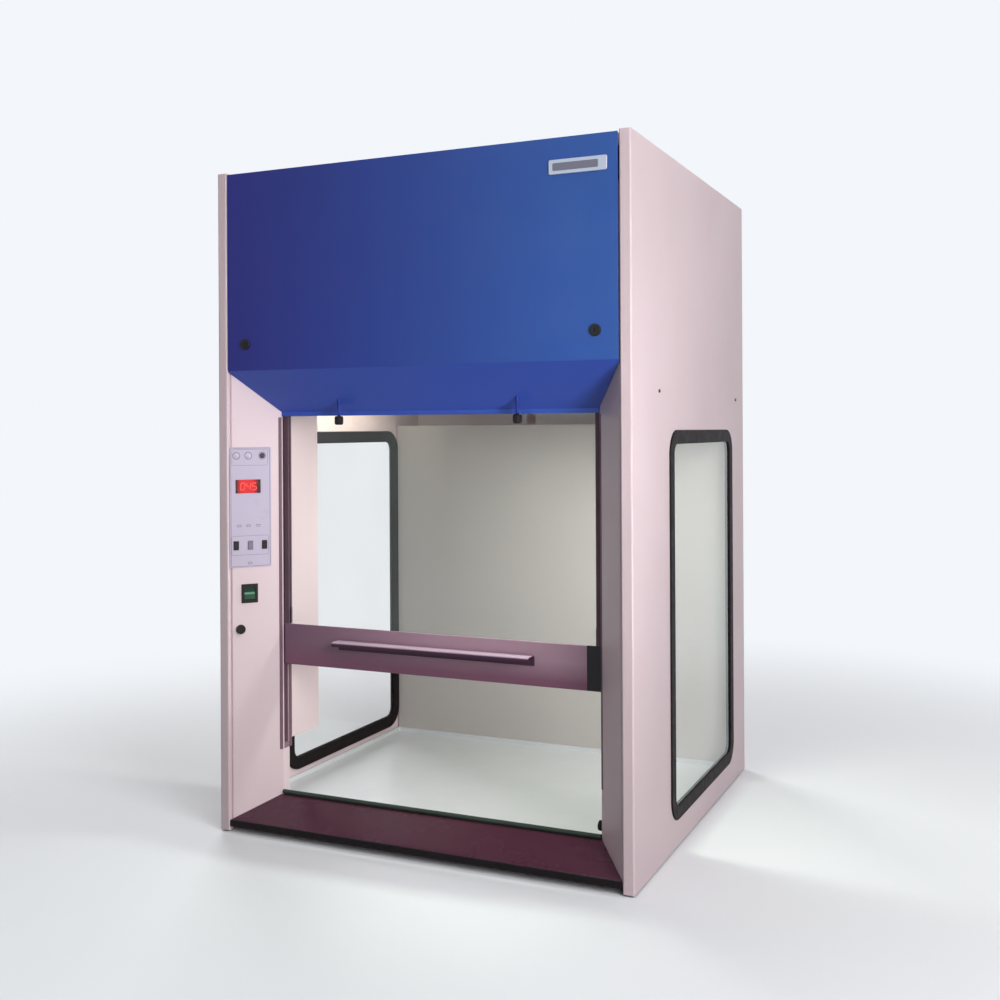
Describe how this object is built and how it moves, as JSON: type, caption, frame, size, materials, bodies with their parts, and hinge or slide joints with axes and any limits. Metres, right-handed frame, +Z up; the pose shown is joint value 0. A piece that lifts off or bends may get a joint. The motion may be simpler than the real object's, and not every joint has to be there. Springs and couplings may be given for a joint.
{
  "type": "fume hood",
  "caption": "Bench fume hood: bevelled front frame, counterbalanced glass sash with a handle, side windows, header door over fan and filter, side-mounted controls.",
  "frame": {"origin": "centre of the outline on the bench, under the feet", "axes": "+X to the operator's right, +Y to the back, +Z up"},
  "size_m": [0.806, 0.785, 1.283],
  "materials": {
    "cabinet_paint": "satin pale pink powder coat",
    "roof_paint": "satin pale pink powder coat",
    "header_paint": "satin deep blue powder coat",
    "sill_paint": "satin maroon powder coat",
    "black_rubber": "matt black rubber",
    "clear_glass": "clear toughened glass",
    "liner_paint": "chemical-resistant grey coat",
    "worktop_plastic": "moulded pale grey plastic",
    "plated_steel": "zinc-plated steel",
    "badge_metal": "satin metal",
    "collar_plastic": "moulded grey plastic",
    "black_plastic": "matt black plastic",
    "grey_plastic": "matt grey plastic",
    "white_plastic": "white low-friction plastic",
    "sash_paint": "mauve coated extrusion",
    "weight_iron": "rough cast iron",
    "filter_body": "carbon cartridge in a plastic case",
    "motor_metal": "die-cast aluminium",
    "tube_glass": "white phosphor-coated tube",
    "overlay_film": "printed film on a thin plate",
    "red_lens": "tinted red lens",
    "green_lens": "lit green lens",
    "board_green": "coated circuit board"
  },
  "bodies": {
    "cabinet": {"side_panel_left": "cabinet_paint", "side_panel_right": "cabinet_paint", "window_gasket_left": "black_rubber", "window_gasket_right": "black_rubber", "window_glass_left": "clear_glass", "window_glass_right": "clear_glass", "pillar_left": "cabinet_paint", "pillar_right": "cabinet_paint", "front_sill": "sill_paint", "sill_seal": "black_rubber", "lock_keepers": "plated_steel", "hinge_leaves_fixed": "plated_steel", "base_pan": "roof_paint", "worktop": "worktop_plastic", "feet": "black_rubber", "rear_panel": "cabinet_paint", "rear_baffle": "liner_paint", "chamber_ceiling": "liner_paint", "top_panel": "roof_paint", "exhaust_collar": "collar_plastic", "service_housing_left": "liner_paint", "service_housing_right": "liner_paint", "sash_track_left": "black_plastic", "sash_track_right": "black_plastic", "sash_bumper": "black_rubber", "pulley_brackets": "plated_steel", "sash_cables": "plated_steel", "carbon_filter": "filter_body", "filter_housing": "liner_paint", "blower_motor": "motor_metal", "motor_bracket": "plated_steel", "lamp_housing": "liner_paint", "lamp_tube": "tube_glass", "control_overlay": "overlay_film", "display_window": "red_lens", "switch_frame": "black_plastic", "fuse_holder": "black_plastic", "control_board": "board_green", "mains_inlet": "black_plastic"},
    "header_door": {"header_panel": "header_paint", "header_lock_sleeves": "plated_steel", "header_pulls": "black_rubber", "badge_plate": "badge_metal", "hinge_leaves_moving": "plated_steel"},
    "lock_left": {"lock_core_left": "plated_steel"},
    "lock_right": {"lock_core_right": "plated_steel"},
    "sash": {"sash_glass": "clear_glass", "sash_rail": "sash_paint", "sash_end_cap": "black_plastic", "sash_handle": "sash_paint", "sash_glides": "white_plastic"},
    "weight_left": {"counterweight_left": "weight_iron"},
    "weight_right": {"counterweight_right": "weight_iron"},
    "pulley_wheel_left": {"pulley_left": "grey_plastic"},
    "pulley_wheel_right": {"pulley_right": "grey_plastic"},
    "rocker": {"rocker_switch": "green_lens"},
    "key_left": {"button_left": "black_plastic"},
    "key_middle": {"button_middle": "grey_plastic"},
    "key_right": {"button_right": "black_plastic"},
    "blower": {"blower_wheel": "collar_plastic"}
  },
  "joints": [
    {"name": "sash_slide", "type": "slide", "parent": "cabinet", "child": "sash", "axis": [0, 0, 1], "range_m": [-0.215, 0.13], "deforming": ["sash_cables"]},
    {"name": "counterweight_left_slide", "type": "slide", "parent": "cabinet", "child": "weight_left", "axis": [0, 0, 1], "range_m": [-0.13, 0.215]},
    {"name": "counterweight_right_slide", "type": "slide", "parent": "cabinet", "child": "weight_right", "axis": [0, 0, 1], "range_m": [-0.13, 0.215]},
    {"name": "pulley_left_spin", "type": "hinge", "parent": "cabinet", "child": "pulley_wheel_left", "pos_m": [-0.342, -0.2705, 1.172], "axis": [0.8423, 0.5391, 0], "range_deg": [-251, 416]},
    {"name": "pulley_right_spin", "type": "hinge", "parent": "cabinet", "child": "pulley_wheel_right", "pos_m": [0.342, -0.2705, 1.172], "axis": [0.8423, -0.5391, 0], "range_deg": [-251, 416]},
    {"name": "header_hinge", "type": "hinge", "parent": "cabinet", "child": "header_door", "pos_m": [0, -0.383, 1.206], "axis": [-1, 0, 0], "range_deg": [0, 75]},
    {"name": "lock_left_turn", "type": "hinge", "parent": "header_door", "child": "lock_left", "pos_m": [-0.339, -0.3885, 0.898], "axis": [0, -1, 0], "range_deg": [0, 90]},
    {"name": "lock_right_turn", "type": "hinge", "parent": "header_door", "child": "lock_right", "pos_m": [0.339, -0.3885, 0.898], "axis": [0, 1, 0], "range_deg": [0, 90]},
    {"name": "rocker_tilt", "type": "hinge", "parent": "cabinet", "child": "rocker", "pos_m": [-0.35943, -0.3533, 0.4375], "axis": [0.6235, 0.7818, 0], "range_deg": [0, 10]},
    {"name": "button_left_press", "type": "slide", "parent": "cabinet", "child": "key_left", "axis": [-0.7818, 0.6235, 0], "range_m": [0, 0.0015], "stiffness_N_per_m": 500},
    {"name": "button_middle_press", "type": "slide", "parent": "cabinet", "child": "key_middle", "axis": [-0.7818, 0.6235, 0], "range_m": [0, 0.0015], "stiffness_N_per_m": 500},
    {"name": "button_right_press", "type": "slide", "parent": "cabinet", "child": "key_right", "axis": [-0.7818, 0.6235, 0], "range_m": [0, 0.0015], "stiffness_N_per_m": 500},
    {"name": "blower_spin", "type": "hinge", "parent": "cabinet", "child": "blower", "pos_m": [0, 0.1265, 0.9835], "axis": [0, 0, 1], "continuous": true}
  ],
  "couplings": [
    {"joint": "counterweight_left_slide", "follows": "sash_slide", "ratio": -1},
    {"joint": "counterweight_right_slide", "follows": "sash_slide", "ratio": -1},
    {"joint": "pulley_left_spin", "follows": "sash_slide", "rad_per_m": -33.691},
    {"joint": "pulley_right_spin", "follows": "sash_slide", "rad_per_m": -33.691}
  ]
}
